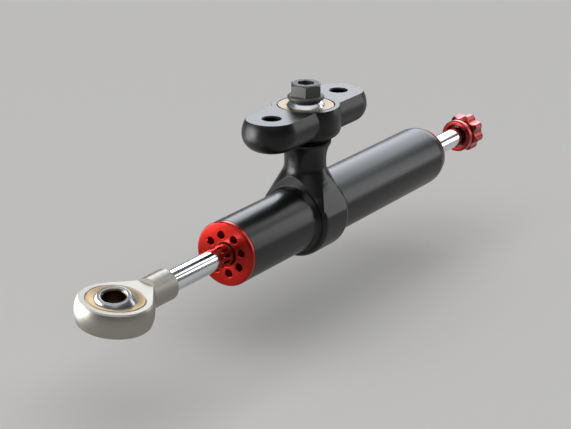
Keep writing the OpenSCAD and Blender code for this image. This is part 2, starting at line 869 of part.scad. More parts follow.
module detent_ball() {
    color("#c9ccd0") along_rod(knob_x) translate([detent_circle, 0, detent_top - detent_r])
        sphere(r = detent_r);
}

// Points of a ring of the spring's wire at turn t, counted from its foot
function spring_ring(t) =
    let (coil_r = detent_r - spring_wire / 2 - seat_fit)
    let (rise = spring_wire / 2 + t * (spring_len - spring_wire) / spring_turns)
    [for (k = [0 : 5])
        let (reach = coil_r + cos(k * 60) * spring_wire / 2)
        [reach * cos(t * 360), reach * sin(t * 360), rise + sin(k * 60) * spring_wire / 2]];

module detent_spring() {
    steps = spring_turns * 12;
    points = [for (i = [0 : steps]) each spring_ring(i * spring_turns / steps)];
    sides = [for (i = [0 : steps - 1], k = [0 : 5]) let (j = (k + 1) % 6)
        each [[6 * i + k, 6 * i + 6 + k, 6 * i + 6 + j], [6 * i + k, 6 * i + 6 + j, 6 * i + j]]];
    ends = [for (k = [1 : 4]) each [[0, k, k + 1], [6 * steps, 6 * steps + k + 1, 6 * steps + k]]];
    color("#8e9296") along_rod(knob_x) translate([detent_circle, 0, detent_top])
        polyhedron(points, concat(sides, ends));
}

module adjuster_needle() {
    taper = 6;
    point_r = 0.7;
    groove_depth = 0.7;
    groove_w = 1.1;
    groove_r = needle_r - groove_depth;
    groove_low = needle_oring_x - needle_tip - groove_w / 2;
    groove_high = groove_low + groove_w;
    shoulder = knob_x + needle_shoulder - needle_tip;
    tail = knob_x + needle_tail - needle_tip;
    color("#c4c7ca") along_rod(needle_tip) rotate_extrude()
        polygon([[0, 0], [point_r, 0], [needle_r, taper], [needle_r, groove_low], [groove_r, groove_low],
            [groove_r, groove_high], [needle_r, groove_high], [needle_r, shoulder], [thread_r, shoulder],
            [thread_r, tail], [0, tail]]);
}

module needle_oring() {
    section = 0.66;
    color("#1a1a1a") along_rod(needle_oring_x) rotate_extrude()
        translate([needle_r + seat_fit - section / 2, 0]) circle(d = section);
}

frame_bracket();
pivot_race();
pivot_ball();
damper_body();
pivot_bolt();
front_cap();
rear_cap();
front_rod_guide();
rear_rod_guide();
front_guide_oring();
rear_guide_oring();
front_bush();
rear_bush();
front_rod_seal();
rear_rod_seal();
front_wiper();
rear_wiper();
piston();
piston_ring();
piston_clips();
piston_rod();
rod_end();
rod_end_race();
rod_end_ball();
adjuster_knob();
knob_clip();
detent_ball();
detent_spring();
adjuster_needle();
needle_oring();
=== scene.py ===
"""Studio scene of a motorcycle steering damper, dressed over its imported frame."""

import json
import logging
import math
from dataclasses import dataclass, field, replace
from enum import Enum

import bmesh
import bpy
from mathutils import Euler, Matrix, Vector


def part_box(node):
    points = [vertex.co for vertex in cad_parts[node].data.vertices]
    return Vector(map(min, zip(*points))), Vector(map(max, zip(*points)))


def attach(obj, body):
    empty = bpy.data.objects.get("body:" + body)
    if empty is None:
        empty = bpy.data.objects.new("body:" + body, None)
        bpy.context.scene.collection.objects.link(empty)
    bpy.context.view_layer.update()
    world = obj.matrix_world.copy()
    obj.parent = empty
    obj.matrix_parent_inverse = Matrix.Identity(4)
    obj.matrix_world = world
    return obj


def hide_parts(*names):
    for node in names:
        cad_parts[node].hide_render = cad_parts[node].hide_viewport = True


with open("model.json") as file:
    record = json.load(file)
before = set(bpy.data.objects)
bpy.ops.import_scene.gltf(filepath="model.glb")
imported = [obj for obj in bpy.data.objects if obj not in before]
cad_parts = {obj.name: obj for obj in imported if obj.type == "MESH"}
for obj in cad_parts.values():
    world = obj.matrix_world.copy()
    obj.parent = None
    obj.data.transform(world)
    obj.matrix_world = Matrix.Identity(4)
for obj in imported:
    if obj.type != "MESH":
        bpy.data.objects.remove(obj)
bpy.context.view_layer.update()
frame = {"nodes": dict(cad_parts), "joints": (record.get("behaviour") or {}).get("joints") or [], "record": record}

LOG = logging.getLogger("steering_damper")
MM = 0.001
UM = 1e-6
PHOTO_SIZE = (571, 429)
SENSOR_MM = 36.0
# Edges that turn by more than this are shaded sharp, and so are the rims of faces smaller than a sliver
CREASE_DEG = 24.0
SLIVER_MM2 = 1e-5
# A quarter turn, from along the turning marks to across them
ACROSS_MARKS = 0.25
# Octaves of the noise that draws the grain and the hoops, and rays that ease an edge in the shading
GRAIN_DETAIL = 3.0
HOOP_DETAIL = 2.0
EDGE_SAMPLES = 6

# A point of a turned profile in mm: height along the axis, radius, and rounding of the corner
ProfilePoint = tuple[float, float, float]


def linear(colour: str) -> tuple[float, float, float, float]:
    """Turns an sRGB hex colour into linear RGBA.

    Args:
        colour: hex colour such as #c8281e.

    Returns:
        Linear red, green and blue, and an alpha of one.
    """
    shares = [int(colour[i:i + 2], 16) / 255 for i in (1, 3, 5)]
    red, green, blue = [s / 12.92 if s <= 0.04045 else ((s + 0.055) / 1.055) ** 2.4 for s in shares]
    return red, green, blue, 1.0


def add(tree: bpy.types.NodeTree, kind: str, links: dict | None = None, **settings: object
        ) -> bpy.types.Node:
    """Adds a node with its settings and its links.

    Args:
        tree: node tree that gets the node.
        kind: Blender's name for the kind of node.
        links: a source socket or a plain value for each input, by name or place.
        settings: the node's own properties.

    Returns:
        The new node.
    """
    node = tree.nodes.new(kind)
    for name, value in settings.items():
        setattr(node, name, value)
    for key, value in (links or {}).items():
        if isinstance(value, bpy.types.NodeSocket):
            tree.links.new(value, node.inputs[key])
        else:
            node.inputs[key].default_value = value
    return node


def named(entries: list[dict], name: str) -> dict:
    """Finds the entry of a list that has a name, among joints or mounts."""
    return next(entry for entry in entries if entry["name"] == name)


def joint_place(name: str) -> Vector:
    """Gives the place of a joint at rest, in metres."""
    return Vector(named(frame["joints"], name)["pos_m"])


class Marks(Enum):
    """Marks that the last working of a surface leaves on it."""

    GRAIN = "fine grain all over, from blasting, plating or moulding"
    ROD = "rings and hoops round the rod, from turning or grinding"
    PIVOT = "rings and hoops round the pivot axis"
    EYE = "rings and hoops round the eye's axis"
    EYE_BALL = "rings and hoops round the leaning axis of the eye's ball"

    def turning(self) -> tuple[Vector, Euler]:
        """Gives the centre and the turn of the axis that the marks run round.

        Returns:
            A point on the axis, and the turn that lays Z along it.
        """
        if self is Marks.ROD:
            return joint_place("rod_spin"), Euler((0, math.pi / 2, 0))
        if self is Marks.PIVOT:
            return joint_place("pivot_tilt"), Euler((0, 0, 0))
        tilt = Vector(named(frame["joints"], "eye_tilt")["axis"])
        roll = math.atan2(tilt.z, tilt.y)
        if self is Marks.EYE:
            return joint_place("eye_tilt"), Euler((roll, 0, 0))
        bore = Vector(named(frame["record"]["mounts"], "rod_eye")["axis"])
        return joint_place("eye_tilt"), bore.to_track_quat("Z", "Y").to_euler()


@dataclass(frozen=True)
class Finish:
    """One material: what it is, how its surface was made and how that looks.

    The colour drifts to the cloud's, and the roughness by its wander. The marks have a pitch and a depth.
    A bore may have painted shade, its own colour up to a radius and to a height along the axis of the marks.
    """

    name: str
    slot: str
    colour: str
    cloud: str
    metallic: float
    roughness: float
    wander: float
    marks: Marks
    pitch_mm: float
    depth_um: float
    edge_mm: float = 0.0
    coat: float = 0.0
    coat_roughness: float = 0.1
    cloud_mm: float = 9.0
    shade_bore_mm: float = 0.0
    shade_bore_end_mm: float = 1000.0
    bore_shade_colour: str = "#000000"
    specular: float = 0.5
    sheen_stretch: float = 0.0

    def around_axis(self, tree: bpy.types.NodeTree, place: bpy.types.NodeSocket
                    ) -> tuple[bpy.types.NodeSocket, bpy.types.NodeSocket]:
        """Measures each point from the axis that the marks run round.

        Args:
            tree: the material's node tree.
            place: object coordinates.

        Returns:
            The sockets that carry the distance from the axis and the height along it.
        """
        centre, turn = self.marks.turning()
        own = add(tree, "ShaderNodeMapping", {"Vector": place, "Location": centre, "Rotation": turn},
                  vector_type="TEXTURE")
        split = add(tree, "ShaderNodeSeparateXYZ", {"Vector": own.outputs["Vector"]})
        flat = add(tree, "ShaderNodeCombineXYZ", {"X": split.outputs["X"], "Y": split.outputs["Y"]})
        reach = add(tree, "ShaderNodeVectorMath", {0: flat.outputs["Vector"]}, operation="LENGTH")
        return reach.outputs["Value"], split.outputs["Z"]

    def pattern(self, tree: bpy.types.NodeTree, place: bpy.types.NodeSocket) -> bpy.types.NodeSocket:
        """Draws the working marks as a height from nought to one.

        Args:
            tree: the material's node tree.
            place: object coordinates.

        Returns:
            The socket that carries the height.
        """
        scale = 1 / (self.pitch_mm * MM)
        if self.marks is Marks.GRAIN:
            grain = add(tree, "ShaderNodeTexNoise", {"Vector": place, "Scale": scale,
                                                     "Detail": GRAIN_DETAIL})
            return grain.outputs["Fac"]
        reach, height = self.around_axis(tree, place)
        along = add(tree, "ShaderNodeMath", {0: reach, 1: height})
        lines = add(tree, "ShaderNodeTexNoise", {"W": along.outputs["Value"], "Scale": scale,
                                                 "Detail": HOOP_DETAIL}, noise_dimensions="1D")
        return lines.outputs["Fac"]

    def tint(self, tree: bpy.types.NodeTree, place: bpy.types.NodeSocket) -> bpy.types.NodeSocket:
        """Draws the colour, with soft clouds in it and painted shade inside a bore.

        Args:
            tree: the material's node tree.
            place: object coordinates.

        Returns:
            The socket that carries the colour.
        """
        cloud = add(tree, "ShaderNodeTexNoise", {"Vector": place, "Scale": 1 / (self.cloud_mm * MM)})
        colour = add(tree, "ShaderNodeMix", {0: cloud.outputs["Fac"], 6: linear(self.colour),
                                             7: linear(self.cloud)}, data_type="RGBA")
        if not self.shade_bore_mm:
            return colour.outputs[2]
        # Painted shade: a darker colour inside the bore, up to a radius and to a height along the axis
        reach, height = self.around_axis(tree, place)
        inside = add(tree, "ShaderNodeMath", {0: reach, 1: self.shade_bore_mm * MM}, operation="LESS_THAN")
        before = add(tree, "ShaderNodeMath", {0: height, 1: self.shade_bore_end_mm * MM}, operation="LESS_THAN")
        both = add(tree, "ShaderNodeMath", {0: inside.outputs["Value"], 1: before.outputs["Value"]},
                   operation="MULTIPLY")
        bore_shaded = add(tree, "ShaderNodeMix", {0: both.outputs["Value"], 6: colour.outputs[2],
                                            7: linear(self.bore_shade_colour)}, data_type="RGBA")
        return bore_shaded.outputs[2]

    def material(self) -> bpy.types.Material:
        """Builds the material, or gives it again if it is built.

        Returns:
            The material.
        """
        if self.name in bpy.data.materials:
            return bpy.data.materials[self.name]
        made = bpy.data.materials.new(self.name)
        made.use_nodes = True
        tree = made.node_tree
        shader = tree.nodes["Principled BSDF"]
        constants = {"Metallic": self.metallic, "Specular IOR Level": self.specular,
                     "Coat Weight": self.coat, "Coat Roughness": self.coat_roughness}
        for socket, value in constants.items():
            shader.inputs[socket].default_value = value
        place = add(tree, "ShaderNodeTexCoord").outputs["Object"]
        tree.links.new(self.tint(tree, place), shader.inputs["Base Color"])
        height = self.pattern(tree, place)
        rough = add(tree, "ShaderNodeMapRange", {"Value": height, "To Min": self.roughness - self.wander,
                                                 "To Max": self.roughness + self.wander})
        tree.links.new(rough.outputs["Result"], shader.inputs["Roughness"])
        bump = add(tree, "ShaderNodeBump", {"Height": height, "Distance": self.depth_um * UM})
        if self.edge_mm:
            edge = add(tree, "ShaderNodeBevel", {"Radius": self.edge_mm * MM}, samples=EDGE_SAMPLES)
            tree.links.new(edge.outputs["Normal"], bump.inputs["Normal"])
        tree.links.new(bump.outputs["Normal"], shader.inputs["Normal"])
        if self.sheen_stretch:
            shader.inputs["Anisotropic"].default_value = self.sheen_stretch
            shader.inputs["Anisotropic Rotation"].default_value = ACROSS_MARKS
            hoops = add(tree, "ShaderNodeTangent", direction_type="RADIAL", axis="X")
            tree.links.new(hoops.outputs["Tangent"], shader.inputs["Tangent"])
        return made


# Grain and turning marks are drawn some five times coarser than life, so that they show at all

# Aluminium, blasted fine and black anodised: a dull satin black, grey where it mirrors a soft box
BLACK_BLASTED = Finish("black_anodised_blasted_aluminium", slot="black_anodised", colour="#0e0e10",
                       cloud="#121214", metallic=0.0, roughness=0.33, wander=0.04, marks=Marks.GRAIN,
                       pitch_mm=0.45, depth_um=2.5, edge_mm=0.2, specular=0.3)
# Aluminium, turned, polished and black anodised: a smoother satin black with faint hoops round the tube
BLACK_SATIN = Finish("black_anodised_turned_aluminium", slot="black_anodised", colour="#0d0d0f",
                     cloud="#111113", metallic=0.0, roughness=0.28, wander=0.008, marks=Marks.ROD,
                     pitch_mm=0.5, depth_um=0.03, edge_mm=0.2, specular=0.3)
# Aluminium, turned and red anodised: deep red metal under a clear oxide that gives pink highlights
RED_ANODISE = Finish("red_anodised_turned_aluminium", slot="red_anodised", colour="#a2160b", cloud="#96120a",
                     metallic=1.0, roughness=0.32, wander=0.04, marks=Marks.ROD, pitch_mm=0.3, depth_um=6,
                     edge_mm=0.12, coat=0.3, coat_roughness=0.18, sheen_stretch=0.4)
# The same on the knob, with painted shade that darkens its recess round the rod
KNOB_ANODISE = replace(RED_ANODISE, name="red_anodised_turned_aluminium_with_oiled_recess",
                       colour="#9a150d", cloud="#8e120b", coat=0.6, coat_roughness=0.24,
                       shade_bore_mm=5.0, shade_bore_end_mm=128.0, bore_shade_colour="#3a0805")
# Steel, ground and hard chromed: near mirror with hoops too fine to feel
HARD_CHROME = Finish("hard_chromed_ground_steel", slot="hard_chrome", colour="#e2e4e6", cloud="#d6d9dc",
                     metallic=1.0, roughness=0.1, wander=0.02, marks=Marks.ROD, pitch_mm=0.8, depth_um=0.6)
# Bearing steel, hardened and polished: bright on the ball's crown
BALL_STEEL = Finish("polished_bearing_steel", slot="bearing_steel", colour="#d2d4d6", cloud="#c6c8cb",
                    metallic=1.0, roughness=0.26, wander=0.03, marks=Marks.PIVOT, pitch_mm=0.5,
                    depth_um=0.8, edge_mm=0.12)
# The same on the eye's ball, with a darker colour as painted shade for the dark surroundings that it mirrors, and
# painted shade in its brown bore
EYE_BALL_STEEL = replace(BALL_STEEL, name="polished_bearing_steel_with_painted_shade", marks=Marks.EYE_BALL,
                         colour="#a0a3a7", cloud="#94979b", shade_bore_mm=4.5, bore_shade_colour="#6b5a44")
# Bearing bronze, turned: a warm brownish gold with fine rings
RACE_BRONZE = Finish("turned_bearing_bronze", slot="race_bronze", colour="#746147", cloud="#6a573c",
                     metallic=1.0, roughness=0.36, wander=0.04, marks=Marks.PIVOT, pitch_mm=0.45,
                     depth_um=1.5, edge_mm=0.15)
# The same in the eye, a little paler
EYE_BRONZE = replace(RACE_BRONZE, name="turned_bearing_bronze_of_the_eye", marks=Marks.EYE,
                     colour="#937d5c", cloud="#86714f")
# Steel forging, tumbled and nickel plated: warm satin silver with soft edges
PLATED_FORGING = Finish("nickel_plated_tumbled_forging", slot="plated_forging", colour="#a29f97",
                        cloud="#98958c", metallic=1.0, roughness=0.38, wander=0.05, marks=Marks.GRAIN,
                        pitch_mm=0.6, depth_um=2, edge_mm=0.15)
# Steel bolt in a zinc flake coat: even dull grey with a fine speckle
ZINC_FLAKE = Finish("zinc_flake_coated_steel", slot="zinc_flake", colour="#575756", cloud="#4d4d4d",
                    metallic=0.6, roughness=0.56, wander=0.06, marks=Marks.GRAIN, pitch_mm=0.35,
                    depth_um=5, edge_mm=0.2)
# Aluminium, turned and left bare: bright silver with fine hoops
BARE_ALUMINIUM = Finish("turned_bare_aluminium", slot="bare_aluminium", colour="#c9cbcd", cloud="#bcbfc2",
                        metallic=1.0, roughness=0.3, wander=0.05, marks=Marks.ROD, pitch_mm=0.5, depth_um=2)
# Bronze strip, rolled into a bush: dull yellow brown
BUSH_BRONZE = Finish("rolled_bush_bronze", slot="bush_bronze", colour="#a98a54", cloud="#967842",
                     metallic=1.0, roughness=0.38, wander=0.06, marks=Marks.GRAIN, pitch_mm=0.5, depth_um=3)
# Nitrile rubber, moulded: matt black
SEAL_RUBBER = Finish("moulded_nitrile_rubber", slot="seal_rubber", colour="#1b1b1b", cloud="#141414",
                     metallic=0.0, roughness=0.62, wander=0.06, marks=Marks.GRAIN, pitch_mm=0.4, depth_um=5)
# Filled PTFE strip: dull brown black
GUIDE_BAND = Finish("filled_ptfe_band", slot="guide_band", colour="#3d3a36", cloud="#322f2b",
                    metallic=0.0, roughness=0.5, wander=0.05, marks=Marks.GRAIN, pitch_mm=0.4, depth_um=3)
# Spring steel, hardened and oiled: dark blue grey
SPRING_STEEL = Finish("oiled_spring_steel", slot="spring_steel", colour="#6a6e73", cloud="#5b5f63",
                      metallic=1.0, roughness=0.34, wander=0.05, marks=Marks.GRAIN, pitch_mm=0.4, depth_um=2)


def creased(tree: bpy.types.NodeTree, shape: bpy.types.NodeSocket) -> bpy.types.NodeSocket:
    """Shades a shape smooth in a Geometry Nodes tree, but for sharp edges and the rims of slivers.

    Args:
        tree: the tree.
        shape: the socket that carries the shape.

    Returns:
        The socket that carries the shaded shape.
    """
    angle = add(tree, "GeometryNodeInputMeshEdgeAngle")
    crease = math.radians(CREASE_DEG)
    sharp = add(tree, "FunctionNodeCompare", {0: angle.outputs["Unsigned Angle"], 1: crease},
                operation="GREATER_THAN")
    area = add(tree, "GeometryNodeInputMeshFaceArea")
    sliver = add(tree, "FunctionNodeCompare", {0: area.outputs["Area"], 1: SLIVER_MM2 * MM ** 2},
                 operation="LESS_THAN")
    by_face = add(tree, "GeometryNodeFieldOnDomain", {0: sliver.outputs["Result"]}, data_type="BOOLEAN",
                  domain="FACE")
    either = add(tree, "FunctionNodeBooleanMath", {0: sharp.outputs["Result"], 1: by_face.outputs[0]},
                 operation="OR")
    smooth = add(tree, "GeometryNodeSetShadeSmooth", {"Geometry": shape, "Shade Smooth": True},
                 domain="FACE")
    edged = add(tree, "GeometryNodeSetShadeSmooth",
                {"Geometry": smooth.outputs["Geometry"], "Selection": either.outputs["Boolean"],
                 "Shade Smooth": False}, domain="EDGE")
    return edged.outputs["Geometry"]


def new_tree(name: str, sizes: dict[str, float]
             ) -> tuple[bpy.types.NodeTree, bpy.types.Node, dict[str, str]]:
    """Starts a Geometry Nodes tree with a named input for each size.

    Args:
        name: the tree's name.
        sizes: the inputs' names and values.

    Returns:
        The tree, its input node and each input's identifier.
    """
    tree = bpy.data.node_groups.new(name, "GeometryNodeTree")
    tree.interface.new_socket("Geometry", in_out="INPUT", socket_type="NodeSocketGeometry")
    known = {}
    for size in sizes:
        socket = tree.interface.new_socket(size, in_out="INPUT", socket_type="NodeSocketFloat")
        known[size] = socket.identifier
    tree.interface.new_socket("Geometry", in_out="OUTPUT", socket_type="NodeSocketGeometry")
    return tree, add(tree, "NodeGroupInput"), known


def end_tree(tree: bpy.types.NodeTree, shape: bpy.types.NodeSocket, finish: Finish) -> None:
    """Ends a tree with its shading, its material and nothing left as an instance.

    Args:
        tree: the tree.
        shape: the socket that carries the shape.
        finish: the finish that the shape gets.
    """
    real = add(tree, "GeometryNodeRealizeInstances", {"Geometry": creased(tree, shape)})
    dressed = add(tree, "GeometryNodeSetMaterial", {"Geometry": real.outputs["Geometry"],
                                                    "Material": finish.material()})
    add(tree, "NodeGroupOutput", {"Geometry": dressed.outputs["Geometry"]})


def fitted(piece: bpy.types.Object, tree: bpy.types.NodeTree, known: dict[str, str],
           sizes: dict[str, float]) -> bpy.types.Modifier:
    """Gives a piece a Geometry Nodes tree as a modifier, with its inputs set.

    Args:
        piece: the piece.
        tree: the tree.
        known: each input's identifier.
        sizes: the inputs' values.

    Returns:
        The modifier.
    """
    work = piece.modifiers.new(tree.name, "NODES")
    work.node_group = tree
    for size, value in sizes.items():
        work[known[size]] = float(value)
    return work


def grown(piece: bpy.types.Object, tree: bpy.types.NodeTree, known: dict[str, str],
          sizes: dict[str, float]) -> bpy.types.Object:
    """Runs a Geometry Nodes tree on a piece and keeps the result as its plain mesh.

    Args:
        piece: the piece that the tree starts from.
        tree: the tree.
        known: each input's identifier.
        sizes: the inputs' values.

    Returns:
        The piece.
    """
    work = fitted(piece, tree, known, sizes)
    held = bpy.context.evaluated_depsgraph_get()
    mesh = bpy.data.meshes.new_from_object(piece.evaluated_get(held), depsgraph=held)
    piece.modifiers.remove(work)
    piece.data = mesh
    mesh.name = piece.name
    return piece


def softened(profile: list[ProfilePoint], steps: int = 4) -> list[tuple[float, float]]:
    """Rounds the corners of a profile.

    Args:
        profile: the profile's points.
        steps: pieces that a rounded corner is made of.

    Returns:
        Height and radius of each point, in mm.
    """
    spots = [Vector(point[:2]) for point in profile]
    line: list[tuple[float, float]] = []
    for i, spot in enumerate(spots):
        reach = profile[i][2]
        if not reach or i in (0, len(spots) - 1):
            line.append(tuple(spot))
            continue
        before, after = spots[i - 1] - spot, spots[i + 1] - spot
        start = spot + before.normalized() * min(reach, before.length / 2)
        end = spot + after.normalized() * min(reach, after.length / 2)
        for k in range(steps + 1):
            share = k / steps
            bend = start * (1 - share) ** 2 + spot * (2 * share * (1 - share)) + end * share ** 2
            line.append(tuple(bend))
    return line


def turned(name: str, line: list[tuple[float, float]], columns: int) -> bpy.types.Object:
    """Turns a profile about the Z axis into a closed piece.

    Args:
        name: the piece's name.
        line: height and radius of each point in mm, from the axis to the axis or closed on itself.
        columns: steps round the axis.

    Returns:
        The piece.
    """
    solid = bmesh.new()
    rings: list[list[bmesh.types.BMVert]] = []
    closed = line[0] == line[-1]
    for height, radius in line[:-1] if closed else line:
        if radius == 0:
            rings.append([solid.verts.new((0, 0, height * MM))])
            continue
        turns = [2 * math.pi * k / columns for k in range(columns)]
        rings.append([solid.verts.new((radius * MM * math.cos(t), radius * MM * math.sin(t), height * MM))
                      for t in turns])
    pairs = list(zip(rings, rings[1:])) + ([(rings[-1], rings[0])] if closed else [])
    for low, high in pairs:
        for k in range(columns):
            corners = [low[k % len(low)], low[(k + 1) % len(low)],
                       high[(k + 1) % len(high)], high[k % len(high)]]
            solid.faces.new(list(dict.fromkeys(corners)))
    bmesh.ops.recalc_face_normals(solid, faces=solid.faces)
    mesh = bpy.data.meshes.new(name)
    solid.to_mesh(mesh)
    solid.free()
    piece = bpy.data.objects.new(name, mesh)
    bpy.context.scene.collection.objects.link(piece)
    return piece


def seat(piece: bpy.types.Object, node: str, body: str, finish: Finish) -> None:
    """Puts a finished piece in place of its plain solid.

    Args:
        piece: the piece.
        node: the solid that it stands for.
        body: the body that it moves with.
        finish: its finish.
    """
    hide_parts(node)
    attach(piece, body)
    LOG.info("%s: %s, %d faces", piece.name, finish.name, len(piece.data.polygons))


@dataclass
class SmoothSkin:
    """Geometry Nodes tree that joins a solid's loose triangles and shades its curves smooth.

    It stays live on the solid, whose own mesh isn't changed. It makes no instances, and the solid's material
    slot gives the finish.
    """

    name: str = "smooth_skin"
    weld_mm: float = 0.012
    tree: bpy.types.NodeTree = field(init=False)
    known: dict[str, str] = field(init=False)

    @property
    def sizes(self) -> dict[str, float]:
        """Names and values of the tree's inputs."""
        return {"Weld distance": self.weld_mm * MM}

    def __post_init__(self) -> None:
        """Builds the tree."""
        self.tree, given, self.known = new_tree(self.name, self.sizes)
        joined = add(self.tree, "GeometryNodeMergeByDistance",
                     {"Geometry": given.outputs["Geometry"], "Distance": given.outputs["Weld distance"]})
        add(self.tree, "NodeGroupOutput", {"Geometry": creased(self.tree, joined.outputs["Geometry"])})

    def dress(self, finishes: dict[str, Finish]) -> None:
        """Gives solids of the frame their smooth skin and their finish.

        Args:
            finishes: each solid's node and finish.
        """
        for node, finish in finishes.items():
            piece = frame["nodes"][node]
            piece.data.materials.clear()
            piece.data.materials.append(finish.material())
            fitted(piece, self.tree, self.known, self.sizes)
            level = piece.modifiers.new("level_flats", "WEIGHTED_NORMAL")
            level.mode = "FACE_AREA_WITH_ANGLE"
            level.keep_sharp = True
            LOG.info("%s: %s", node, finish.name)


@dataclass
class SphericalBearing:
    """Bronze race with a dished face, and the polished ball in it. Sizes in mm."""

    group: str
    race_body: str
    ball_body: str
    race_r: float
    race_finish: Finish
    ball_finish: Finish
    lean_deg: float = 0.0
    race_w: float = 9.0
    race_chamfer: float = 0.3
    rim: float = 0.45
    dish: float = 0.22
    ball_r: float = 8.4
    ball_w: float = 12.4
    bore_r: float = 4.0
    bore_chamfer: float = 0.75
    run_fit: float = 0.04
    corner_ease: float = 0.1
    mouth_ease: float = 0.15
    level_ease: float = 0.3
    crown_ease: float = 0.25
    bore_ease: float = 0.2
    arc_steps: int = 32
    columns: int = 128

    @staticmethod
    def arc(radius: float, low: float, high: float, steps: int) -> list[ProfilePoint]:
        """Gives the points of a sphere's section between two heights.

        Args:
            radius: the sphere's radius.
            low: first height.
            high: last height.
            steps: pieces of the arc.

        Returns:
            The points, both ends with them.
        """
        first, last = math.asin(low / radius), math.asin(high / radius)
        turns = [first + (last - first) * k / steps for k in range(steps + 1)]
        return [(radius * math.sin(t), radius * math.cos(t), 0.0) for t in turns]

    def race_line(self) -> list[tuple[float, float]]:
        """Gives the race's closed section: a level rim, then a dish down to the ball.

        Returns:
            Height and radius of each point.
        """
        face = self.race_w / 2
        mouth = face - self.dish
        level_r = self.race_r - self.race_chamfer - self.rim
        inner = self.arc(self.ball_r + self.run_fit, mouth, -mouth, self.arc_steps)
        inner[0] = (*inner[0][:2], self.mouth_ease)
        inner[-1] = (*inner[-1][:2], self.mouth_ease)
        land_r, side, ease = self.race_r - self.race_chamfer, face - self.race_chamfer, self.corner_ease
        outer = [(-face, level_r, self.level_ease), (-face, land_r, ease), (-side, self.race_r, ease),
                 (side, self.race_r, ease), (face, land_r, ease), (face, level_r, self.level_ease)]
        middle = len(inner) // 2
        ring = [*inner[middle:], *outer, *inner[:middle], inner[middle]]
        return softened(ring)

    def ball_line(self) -> list[tuple[float, float]]:
        """Gives the ball's closed section with eased rims.

        Returns:
            Height and radius of each point.
        """
        flat = self.ball_w / 2
        crown = self.arc(self.ball_r, -flat, flat, self.arc_steps)
        crown[0] = (*crown[0][:2], self.crown_ease)
        crown[-1] = (*crown[-1][:2], self.crown_ease)
        wide, deep, ease = self.bore_r + self.bore_chamfer, flat - self.bore_chamfer, self.bore_ease
        bore = [(flat, wide, ease), (deep, self.bore_r, ease),
                (-deep, self.bore_r, ease), (-flat, wide, ease)]
        start = (0.0, self.bore_r, 0.0)
        return softened([start, bore[2], bore[3], *crown, bore[0], bore[1], start])

    def build(self, place: Matrix) -> None:
        """Builds the race and the ball in place of their plain solids.

        Args:
            place: where the ball's centre lies, and the turn of the race.
        """
        lean = Matrix.Rotation(math.radians(-self.lean_deg), 4, "Y")
        parts = ((f"{self.group}_race", self.race_line(), place, self.race_body, self.race_finish),
                 (f"{self.group}_ball", self.ball_line(), place @ lean, self.ball_body, self.ball_finish))
        for node, line, spot, body, finish in parts:
            piece = turned(f"{node}_turned", line, self.columns)
            piece.data.transform(spot)
            piece.data.materials.append(finish.material())
            piece.data.shade_smooth()
            piece.data.set_sharp_from_angle(angle=math.radians(CREASE_DEG))
            seat(piece, node, body, finish)


@dataclass
class FrameBracket:
    """Bracket that bolts to the frame, with the bearing that the damper hangs from."""

    finishes: dict[str, Finish] = field(default_factory=lambda: {
        "frame_bracket": BLACK_BLASTED, "pivot_bolt": ZINC_FLAKE})
    # The seen ball is a hair narrower than its solid, so that its face isn't in one plane with the bolt's
    bearing: SphericalBearing = field(default_factory=lambda: SphericalBearing(
        "pivot", race_body="bracket", ball_body="swivel", race_r=10.79, race_finish=RACE_BRONZE,
        ball_finish=BALL_STEEL, ball_w=12.36))

    def build(self) -> None:
        """Builds the pivot bearing."""
        self.bearing.build(Matrix.Translation(joint_place("pivot_tilt")))

    def dress(self, skin: SmoothSkin) -> None:
        """Dresses the bracket and the pivot bolt."""
        skin.dress(self.finishes)


@dataclass
class DamperBody:
    """Tube with its collar, pedestal and neck, and what lies inside it."""

    outside: dict[str, Finish] = field(default_factory=lambda: {"damper_body": BLACK_SATIN})
    inside: dict[str, Finish] = field(default_factory=lambda: {
        "front_rod_guide": BARE_ALUMINIUM, "rear_rod_guide": BARE_ALUMINIUM,
        "front_guide_oring": SEAL_RUBBER, "rear_guide_oring": SEAL_RUBBER,
        "front_bush": BUSH_BRONZE, "rear_bush": BUSH_BRONZE,
        "front_rod_seal": SEAL_RUBBER, "rear_rod_seal": SEAL_RUBBER,
        "front_wiper": SEAL_RUBBER, "rear_wiper": SEAL_RUBBER,
        "piston": BARE_ALUMINIUM, "piston_ring": GUIDE_BAND, "piston_clips": SPRING_STEEL})

    def dress(self, skin: SmoothSkin) -> None:
        """Dresses the body and its inner pieces."""
        skin.dress(self.outside)
        skin.dress(self.inside)


class End(Enum):
    """The two ends of the tube, by the way that they face along X."""

    FRONT = -1
    REAR = 1


